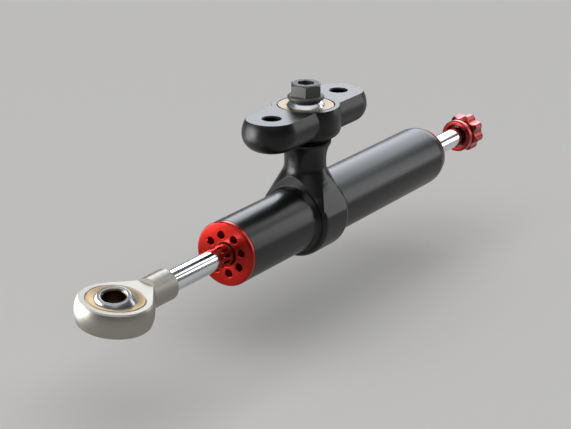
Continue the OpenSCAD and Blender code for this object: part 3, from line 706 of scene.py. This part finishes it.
@dataclass
class EndCap:
    """Turned red cap in one end of the tube, with a ring of pin spanner holes. Sizes in mm."""

    end: End
    rim: float
    rim_r: float
    body_r: float = 9.98
    body_len: float = 9.0
    chamfer: float = 0.5
    free_r: float = 4.35
    mouth_r: float = 4.3
    mouth_chamfer: float = 0.6
    wiper_r: float = 5.36
    wiper_set: float = 1.2
    wiper_w: float = 2.64
    pins: int = 8
    pin_circle: float = 7.25
    pin_r: float = 1.45
    pin_depth: float = 4.0
    pin_chamfer: float = 0.25
    pin_turn_deg: float = 13.0
    pin_columns: int = 48
    inner_ease: float = 0.3
    corner_ease: float = 0.1
    rim_ease: float = 0.12
    mouth_ease: float = 0.05
    columns: int = 160
    finish: Finish = RED_ANODISE

    @property
    def name(self) -> str:
        """Name of the piece and of the node that it stands for."""
        return f"{self.end.name.lower()}_cap"

    def profile(self) -> list[ProfilePoint]:
        """Gives the cap's section, outwards up the axis from the tube's end.

        Returns:
            The closed profile.
        """
        wiper_out = self.rim - self.wiper_set
        wiper_in = wiper_out - self.wiper_w
        start = (-self.body_len, self.free_r, 0.0)
        return [start, (-self.body_len, self.body_r, self.inner_ease), (0.0, self.body_r, 0.0),
                (0.0, self.rim_r, self.corner_ease), (self.rim - self.chamfer, self.rim_r, self.rim_ease),
                (self.rim, self.rim_r - self.chamfer, self.rim_ease),
                (self.rim, self.mouth_r + self.mouth_chamfer, self.corner_ease),
                (self.rim - self.mouth_chamfer, self.mouth_r, self.mouth_ease),
                (wiper_out, self.mouth_r, 0.0), (wiper_out, self.wiper_r, 0.0),
                (wiper_in, self.wiper_r, 0.0), (wiper_in, self.free_r, 0.0), start]

    def pin_tree(self, sizes: dict[str, float]) -> tuple[bpy.types.NodeTree, dict[str, str]]:
        """Builds the tree that drills the ring of pin holes and sets the cap at its end of the tube.

        Args:
            sizes: the tree's inputs.

        Returns:
            The tree and each input's identifier.
        """
        tree, given, known = new_tree(f"{self.name}_pin_holes", sizes)
        size = given.outputs
        ring = add(tree, "GeometryNodeMeshCircle", {"Vertices": self.pins, "Radius": size["Circle radius"]})
        first = add(tree, "ShaderNodeCombineXYZ", {"Z": size["First hole"]})
        lift = add(tree, "ShaderNodeCombineXYZ", {"Z": size["Face height"]})
        spots = add(tree, "GeometryNodeTransform", {"Geometry": ring.outputs["Mesh"],
                                                    "Rotation": first.outputs[0],
                                                    "Translation": lift.outputs[0]})
        deep = add(tree, "ShaderNodeMath", {0: size["Hole depth"], 1: 2.0}, operation="MULTIPLY")
        drill = add(tree, "GeometryNodeMeshCylinder", {"Vertices": self.pin_columns,
                                                       "Radius": size["Hole radius"],
                                                       "Depth": deep.outputs[0]})
        twice = add(tree, "ShaderNodeMath", {0: size["Mouth chamfer"], 1: 2.0}, operation="MULTIPLY")
        wide = add(tree, "ShaderNodeMath", {0: size["Hole radius"], 1: twice.outputs[0]})
        down = add(tree, "ShaderNodeMath", {0: size["Mouth chamfer"], 1: -1.0}, operation="MULTIPLY")
        sunk = add(tree, "ShaderNodeCombineXYZ", {"Z": down.outputs[0]})
        cone = add(tree, "GeometryNodeMeshCone", {"Vertices": self.pin_columns,
                                                  "Radius Top": wide.outputs[0],
                                                  "Radius Bottom": size["Hole radius"],
                                                  "Depth": twice.outputs[0]})
        sink = add(tree, "GeometryNodeTransform", {"Geometry": cone.outputs["Mesh"],
                                                   "Translation": sunk.outputs[0]})
        shape = size["Geometry"]
        for cutter in (drill.outputs["Mesh"], sink.outputs["Geometry"]):
            set_out = add(tree, "GeometryNodeInstanceOnPoints", {"Points": spots.outputs["Geometry"],
                                                                 "Instance": cutter})
            real = add(tree, "GeometryNodeRealizeInstances", {"Geometry": set_out.outputs["Instances"]})
            drilled = add(tree, "GeometryNodeMeshBoolean",
                          {"Mesh 1": shape, "Mesh 2": real.outputs["Geometry"]},
                          operation="DIFFERENCE", solver="EXACT")
            shape = drilled.outputs["Mesh"]
        place = add(tree, "ShaderNodeCombineXYZ", {"X": size["Tube end"], "Z": size["Axis height"]})
        facing = add(tree, "ShaderNodeCombineXYZ", {"Y": size["Facing"]})
        seated = add(tree, "GeometryNodeTransform", {"Geometry": shape, "Translation": place.outputs[0],
                                                     "Rotation": facing.outputs[0]})
        end_tree(tree, seated.outputs["Geometry"], self.finish)
        return tree, known

    def build(self) -> None:
        """Builds the cap in place of its plain solid."""
        low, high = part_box(self.name)
        face_x = low[0] if self.end is End.FRONT else high[0]
        sizes = {"Circle radius": self.pin_circle * MM, "Hole radius": self.pin_r * MM,
                 "Hole depth": self.pin_depth * MM, "Mouth chamfer": self.pin_chamfer * MM,
                 "First hole": math.radians(self.pin_turn_deg), "Face height": self.rim * MM,
                 "Tube end": face_x - self.end.value * self.rim * MM,
                 "Axis height": joint_place("rod_spin").z, "Facing": self.end.value * math.pi / 2}
        tree, known = self.pin_tree(sizes)
        piece = turned(f"{self.name}_turned", softened(self.profile()), self.columns)
        seat(grown(piece, tree, known, sizes), self.name, "damper", self.finish)


@dataclass
class RodLine:
    """Chromed rod with the eye at its front end."""

    finishes: dict[str, Finish] = field(default_factory=lambda: {
        "piston_rod": HARD_CHROME, "rod_end": PLATED_FORGING})
    bearing: SphericalBearing = field(default_factory=lambda: SphericalBearing(
        "rod_end", race_body="rod", ball_body="eye_ball", race_r=10.29, race_finish=EYE_BRONZE,
        ball_finish=EYE_BALL_STEEL, lean_deg=10.0))

    def build(self) -> None:
        """Builds the eye's bearing."""
        centre, turn = Marks.EYE.turning()
        self.bearing.build(Matrix.Translation(centre) @ turn.to_matrix().to_4x4())

    def dress(self, skin: SmoothSkin) -> None:
        """Dresses the rod and the eye."""
        skin.dress(self.finishes)


@dataclass
class AdjusterKnob:
    """Red knob with a round front and scalloped lobes, and the adjuster behind it. Sizes in mm."""

    front_r: float = 6.8
    front_w: float = 3.0
    groove_r: float = 6.1
    lobe_start: float = 4.2
    lobe_r: float = 8.0
    length: float = 11.5
    front_bevel: float = 1.2
    back_bevel: float = 0.8
    lobes: int = 8
    lobe_turn_deg: float = 14.0
    scallop_r: float = 3.2
    scallop_depth: float = 1.3
    recess_r: float = 5.04
    recess_depth: float = 2.0
    rod_r: float = 4.04
    clip_low: float = 3.16
    clip_high: float = 4.24
    rod_floor: float = 5.8
    thread_r: float = 1.59
    thread_floor: float = 9.8
    edge: float = 0.25
    disc_chamfer: float = 0.5
    groove_ease: float = 0.1
    recess_ease: float = 0.15
    least_reach: float = 0.001
    columns: int = 288
    finish: Finish = KNOB_ANODISE
    inside: dict[str, Finish] = field(default_factory=lambda: {
        "knob_clip": SPRING_STEEL, "detent_ball": BALL_STEEL, "detent_spring": SPRING_STEEL,
        "adjuster_needle": BARE_ALUMINIUM, "needle_oring": SEAL_RUBBER})

    def profile(self) -> list[ProfilePoint]:
        """Gives the knob's section from its thread, round the front and back to the axis.

        Returns:
            The profile.
        """
        e, c = self.edge, self.disc_chamfer
        return [(self.thread_floor, 0.0, 0.0), (self.thread_floor, self.thread_r, 0.0),
                (self.rod_floor, self.thread_r, 0.0), (self.rod_floor, self.rod_r, 0.0),
                (self.clip_high, self.rod_r, 0.0), (self.clip_high, self.recess_r, 0.0),
                (self.clip_low, self.recess_r, 0.0), (self.clip_low, self.rod_r, 0.0),
                (self.recess_depth, self.rod_r, self.groove_ease), (self.recess_depth, self.recess_r, 0.0),
                (0.0, self.recess_r, self.recess_ease), (0.0, self.front_r - c, e), (c, self.front_r, e),
                (self.front_w - c, self.front_r, e), (self.front_w, self.front_r - c, e),
                (self.front_w, self.groove_r, self.groove_ease),
                (self.lobe_start, self.groove_r, self.groove_ease),
                (self.lobe_start, self.lobe_r - self.front_bevel, 2 * e),
                (self.lobe_start + self.front_bevel, self.lobe_r, 3 * e),
                (self.length - self.back_bevel, self.lobe_r, 3 * e),
                (self.length, self.lobe_r - self.back_bevel, 2 * e), (self.length, 0.0, 0.0)]

    def line(self) -> list[tuple[float, float]]:
        """Gives the profile with rounded corners and enough rings for the scallops' rims.

        Returns:
            Height and radius of each ring, in mm.
        """
        fine: list[tuple[float, float]] = []
        soft = softened(self.profile())
        for (h0, r0), (h1, r1) in zip(soft, soft[1:]):
            lobed = min(h0, h1) >= self.lobe_start and max(r0, r1) > self.groove_r
            steps = max(1, round(math.hypot(h1 - h0, r1 - r0) / self.edge)) if lobed else 1
            fine += [(h0 + (h1 - h0) * k / steps, r0 + (r1 - r0) * k / steps) for k in range(steps)]
        return fine + [soft[-1]]

    def mark_lobes(self, piece: bpy.types.Object) -> None:
        """Writes on each point how far the scallops' rims draw in there.

        Args:
            piece: the turned blank.
        """
        mesh = piece.data
        drop = mesh.attributes.new("rim_drop", "FLOAT", "POINT")
        lobed = mesh.attributes.new("lobed", "BOOLEAN", "POINT")
        rim = 2 * self.edge
        for i, vertex in enumerate(mesh.vertices):
            height = vertex.co.z / MM
            gap = rim - min(rim, height - self.lobe_start, self.length - height)
            drop.data[i].value = (rim - math.sqrt(max(0.0, rim ** 2 - gap ** 2))) * MM
            lobed.data[i].value = height >= self.lobe_start and vertex.co.xy.length > self.groove_r * MM / 2

    def lobe_tree(self, sizes: dict[str, float]) -> tuple[bpy.types.NodeTree, dict[str, str]]:
        """Builds the tree that cuts the scallops between the lobes and sets the knob on the rod.

        Args:
            sizes: the tree's inputs.

        Returns:
            The tree and each input's identifier.
        """
        tree, given, known = new_tree("knob_scallops", sizes)
        size = given.outputs

        def reckon(operation: str, *values: float | bpy.types.NodeSocket) -> bpy.types.NodeSocket:
            """Adds one step of reckoning."""
            return add(tree, "ShaderNodeMath", dict(enumerate(values)), operation=operation).outputs[0]

        spot = add(tree, "GeometryNodeInputPosition").outputs["Position"]
        split = add(tree, "ShaderNodeSeparateXYZ", {"Vector": spot}).outputs
        flat = add(tree, "ShaderNodeCombineXYZ", {"X": split["X"], "Y": split["Y"]}).outputs[0]
        reach = add(tree, "ShaderNodeVectorMath", {0: flat}, operation="LENGTH").outputs["Value"]
        angle = reckon("ARCTAN2", split["Y"], split["X"])
        half_step = reckon("DIVIDE", math.pi, size["Lobes"])
        turn = reckon("WRAP", reckon("SUBTRACT", angle, size["First scallop"]), half_step,
                      reckon("MULTIPLY", half_step, -1.0))
        side = reckon("MULTIPLY", reckon("SINE", turn), size["Scallop circle"])
        room = reckon("SUBTRACT", reckon("POWER", size["Scallop radius"], 2.0), reckon("POWER", side, 2.0))
        bite = reckon("SQRT", reckon("MAXIMUM", room, 0.0))
        wall = reckon("SUBTRACT", reckon("MULTIPLY", reckon("COSINE", turn), size["Scallop circle"]), bite)
        drop = add(tree, "GeometryNodeInputNamedAttribute", {"Name": "rim_drop"}, data_type="FLOAT")
        rim = reckon("SUBTRACT", wall, drop.outputs["Attribute"])
        kept = reckon("SMOOTH_MIN", reach, rim, size["Edge rounding"])
        share = reckon("DIVIDE", kept, reckon("MAXIMUM", reach, self.least_reach * MM))
        moved = add(tree, "ShaderNodeCombineXYZ", {"X": reckon("MULTIPLY", split["X"], share),
                                                   "Y": reckon("MULTIPLY", split["Y"], share),
                                                   "Z": split["Z"]}).outputs[0]
        lobed = add(tree, "GeometryNodeInputNamedAttribute", {"Name": "lobed"}, data_type="BOOLEAN")
        cut = add(tree, "GeometryNodeSetPosition", {"Geometry": size["Geometry"], "Position": moved,
                                                    "Selection": lobed.outputs["Attribute"]})
        place = add(tree, "ShaderNodeCombineXYZ", {"X": size["Front face"], "Z": size["Axis height"]})
        seated = add(tree, "GeometryNodeTransform", {"Geometry": cut.outputs["Geometry"],
                                                     "Translation": place.outputs[0],
                                                     "Rotation": (0.0, math.pi / 2, 0.0)})
        end_tree(tree, seated.outputs["Geometry"], self.finish)
        return tree, known

    def build(self) -> None:
        """Builds the knob in place of its plain solid."""
        step = math.pi / self.lobes
        sizes = {"Lobes": self.lobes, "First scallop": math.radians(self.lobe_turn_deg) + step,
                 "Scallop radius": self.scallop_r * MM,
                 "Scallop circle": (self.lobe_r - self.scallop_depth + self.scallop_r) * MM,
                 "Edge rounding": 2 * self.edge * MM, "Front face": joint_place("knob_turn").x,
                 "Axis height": joint_place("knob_turn").z}
        piece = turned("adjuster_knob_turned", self.line(), self.columns)
        self.mark_lobes(piece)
        tree, known = self.lobe_tree(sizes)
        piece = grown(piece, tree, known, sizes)
        for attribute in ("rim_drop", "lobed"):
            piece.data.attributes.remove(piece.data.attributes[attribute])
        seat(piece, "adjuster_knob", "knob", self.finish)

    def dress(self, skin: SmoothSkin) -> None:
        """Dresses what lies inside the knob and the rod."""
        skin.dress(self.inside)


@dataclass
class PhotoCamera:
    """Camera at the place and angle that the photograph was taken from."""

    place_mm: tuple[float, float, float] = (-596.618, -377.16, 203.812)
    yaw_deg: float = 32.895
    down_deg: float = 19.345
    roll_deg: float = 0.346
    focal_px: float = 1954.564
    clip_m: tuple[float, float] = (0.01, 50.0)

    def build(self) -> None:
        """Builds the camera and makes it the scene's own."""
        yaw, down, roll = [math.radians(a) for a in (self.yaw_deg, self.down_deg, self.roll_deg)]
        ahead = Vector((math.cos(down) * math.cos(yaw), math.cos(down) * math.sin(yaw), -math.sin(down)))
        level = Vector((math.sin(yaw), -math.cos(yaw), 0))
        upright = level.cross(ahead)
        right = level * math.cos(roll) + upright * math.sin(roll)
        up = upright * math.cos(roll) - level * math.sin(roll)
        lens = bpy.data.cameras.new("photo_camera")
        lens.sensor_width = SENSOR_MM
        lens.lens = self.focal_px * SENSOR_MM / PHOTO_SIZE[0]
        lens.clip_start, lens.clip_end = self.clip_m
        camera = bpy.data.objects.new("photo_camera", lens)
        turn = Matrix((right, up, -ahead)).transposed()
        camera.matrix_world = Matrix.Translation(Vector(self.place_mm) * MM) @ turn.to_4x4()
        bpy.context.scene.collection.objects.link(camera)
        bpy.context.scene.camera = camera


@dataclass(frozen=True)
class SoftBox:
    """Rectangular soft light, set by its place and the point that it faces, in metres."""

    name: str
    place: tuple[float, float, float]
    target: tuple[float, float, float]
    width: float
    height: float
    brightness: float
    tint: str = "#ffffff"
    lights_floor: bool = False

    def build(self, floor: bpy.types.Object) -> None:
        """Builds the light.

        Args:
            floor: the floor, which only the overhead light reaches, so that it stays plain.
        """
        lamp = bpy.data.lights.new(self.name, "AREA")
        lamp.shape = "RECTANGLE"
        lamp.size = self.width
        lamp.size_y = self.height
        lamp.energy = self.brightness * math.pi * self.width * self.height
        lamp.color = linear(self.tint)[:3]
        box = bpy.data.objects.new(self.name, lamp)
        away = Vector(self.place) - Vector(self.target)
        turn = away.to_track_quat("Z", "Y").to_matrix()
        box.matrix_world = Matrix.Translation(self.place) @ turn.to_4x4()
        box.visible_camera = False
        if not self.lights_floor:
            screened = bpy.data.collections.new(f"{self.name}_screened")
            screened.objects.link(floor)
            screened.collection_objects[0].light_linking.link_state = "EXCLUDE"
            box.light_linking.receiver_collection = screened
        bpy.context.scene.collection.objects.link(box)


@dataclass
class Studio:
    """Pale floor, soft lights and a plain grey surround."""

    floor_z: float = -0.082
    floor_size: float = 24.0
    floor_colour: str = "#e6e5e3"
    floor_roughness: tuple[float, float] = (0.7, 0.8)
    floor_grain: float = 180.0
    surround: str = "#c4c5c7"
    surround_strength: float = 0.25
    boxes: tuple[SoftBox, ...] = (
        SoftBox("back_soft_box", place=(0.69, 0.224, 0.308), target=(0, 0, -0.03),
                width=0.68, height=0.40, brightness=4.6, tint="#f3f8ff"),
        SoftBox("side_soft_box", place=(0.615, -0.40, 0.126), target=(0, 0, -0.03),
                width=0.20, height=0.40, brightness=3.2),
        SoftBox("shoulder_soft_box", place=(0.634, -0.218, 0.406), target=(0, 0, -0.03),
                width=0.22, height=0.26, brightness=1.8),
        SoftBox("left_strip_box", place=(-0.107, 0.100, -0.022), target=(-0.054, 0, -0.03),
                width=0.12, height=0.10, brightness=5.0),
        SoftBox("eye_soft_box", place=(-0.24, 0.19, 0.012), target=(-0.1185, 0, -0.0435),
                width=0.16, height=0.17, brightness=7.0),
        SoftBox("overhead_soft_box", place=(-1.2, -0.6, 7.8), target=(-1.2, -0.6, 0),
                width=15.0, height=15.0, brightness=1.0, lights_floor=True),
    )

    def floor(self) -> bpy.types.Object:
        """Builds the floor.

        Returns:
            The floor.
        """
        half = self.floor_size / 2
        mesh = bpy.data.meshes.new("floor")
        corners = [(x * half, y * half, self.floor_z) for x, y in ((-1, -1), (1, -1), (1, 1), (-1, 1))]
        mesh.from_pydata(corners, [], [(0, 1, 2, 3)])
        # Board, painted matt in a pale warm grey
        board = bpy.data.materials.new("painted_board")
        board.use_nodes = True
        tree = board.node_tree
        shader = tree.nodes["Principled BSDF"]
        shader.inputs["Base Color"].default_value = linear(self.floor_colour)
        place = add(tree, "ShaderNodeTexCoord").outputs["Object"]
        grain = add(tree, "ShaderNodeTexNoise", {"Vector": place, "Scale": self.floor_grain})
        low, high = self.floor_roughness
        rough = add(tree, "ShaderNodeMapRange", {"Value": grain.outputs["Fac"], "To Min": low,
                                                 "To Max": high})
        tree.links.new(rough.outputs["Result"], shader.inputs["Roughness"])
        mesh.materials.append(board)
        floor = bpy.data.objects.new("floor", mesh)
        bpy.context.scene.collection.objects.link(floor)
        return floor

    def build(self) -> None:
        """Builds the floor, the lights and the surround."""
        floor = self.floor()
        for box in self.boxes:
            box.build(floor)
        world = bpy.data.worlds.new("grey_surround")
        world.use_nodes = True
        backdrop = world.node_tree.nodes["Background"]
        backdrop.inputs["Color"].default_value = linear(self.surround)
        backdrop.inputs["Strength"].default_value = self.surround_strength
        bpy.context.scene.world = world
        bpy.context.scene.view_settings.view_transform = "Standard"


def main() -> None:
    """Builds the camera, the studio and the dressed damper in order."""
    logging.basicConfig(level=logging.INFO, format="%(name)s: %(message)s")
    PhotoCamera().build()
    Studio().build()
    skin = SmoothSkin()
    DamperBody().dress(skin)
    for cap in (EndCap(End.FRONT, rim=1.9, rim_r=12.2), EndCap(End.REAR, rim=1.0, rim_r=10.7)):
        cap.build()
    for assembly in (FrameBracket(), RodLine(), AdjusterKnob()):
        assembly.build()
        assembly.dress(skin)


if __name__ == "__main__":
    main()
